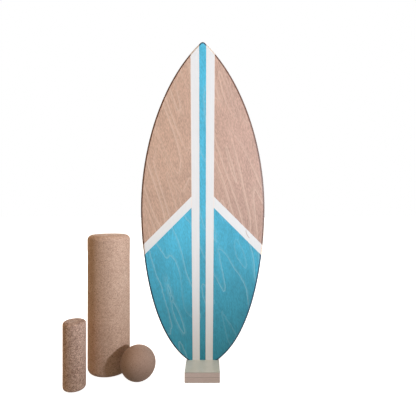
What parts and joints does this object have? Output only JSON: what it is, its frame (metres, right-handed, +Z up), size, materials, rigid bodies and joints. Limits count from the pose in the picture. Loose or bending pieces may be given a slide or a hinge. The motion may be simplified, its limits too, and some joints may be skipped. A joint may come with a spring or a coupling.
{
  "type": "balance board",
  "caption": "Pointed plywood balance board standing in a slotted stand, with a cork roller, a small cork roller and a cork ball.",
  "frame": {"origin": "on the floor, at the middle of the stand's underside", "axes": "+Z up along the standing deck from tail to nose, +X to the right of a person facing the deck's standing face, across its width, +Y through the deck from that face to the side with the end stops"},
  "size_m": [0.4556, 0.1979, 0.8009],
  "materials": {
    "stained_face_veneer": "satin",
    "core_veneer": "satin",
    "back_veneer": "satin",
    "stop_wood": "satin",
    "screw_steel": "satin",
    "stand_board": "satin",
    "fine_cork": "matte",
    "coarse_cork": "matte",
    "dense_cork": "matte"
  },
  "bodies": {
    "stand": {"stand_base_board": "stand_board", "stand_front_board": "stand_board", "stand_rear_board": "stand_board"},
    "deck": {"deck_face_veneer": "stained_face_veneer", "deck_ply_02": "core_veneer", "deck_ply_03": "core_veneer", "deck_ply_04": "core_veneer", "deck_ply_05": "core_veneer", "deck_ply_06": "core_veneer", "deck_ply_07": "core_veneer", "deck_ply_08": "core_veneer", "deck_ply_09": "core_veneer", "deck_ply_10": "core_veneer", "deck_back_veneer": "back_veneer", "nose_stop_bar": "stop_wood", "nose_stop_screws": "screw_steel", "tail_stop_bar": "stop_wood", "tail_stop_screws": "screw_steel"},
    "roller": {"cork_roller": "fine_cork"},
    "small_roller": {"small_cork_roller": "coarse_cork"},
    "ball": {"cork_ball": "dense_cork"}
  },
  "joints": [
    {"name": "deck_lift", "type": "slide", "parent": "stand", "child": "deck", "axis": [0, 0, 1], "range_m": [0, 0.1]},
    {"name": "roller_tip", "type": "hinge", "parent": "stand", "child": "roller", "pos_m": [-0.2664, -0.0074, 0.012], "axis": [0, -1, 0], "range_deg": [0, 90]},
    {"name": "small_roller_tip", "type": "hinge", "parent": "stand", "child": "small_roller", "pos_m": [-0.29715, -0.09835, 0.007], "axis": [0, -1, 0], "range_deg": [0, 90]},
    {"name": "ball_roll", "type": "hinge", "parent": "stand", "child": "ball", "pos_m": [-0.14707, -0.06226, 0.04], "axis": [1, 0, 0], "continuous": true}
  ]
}
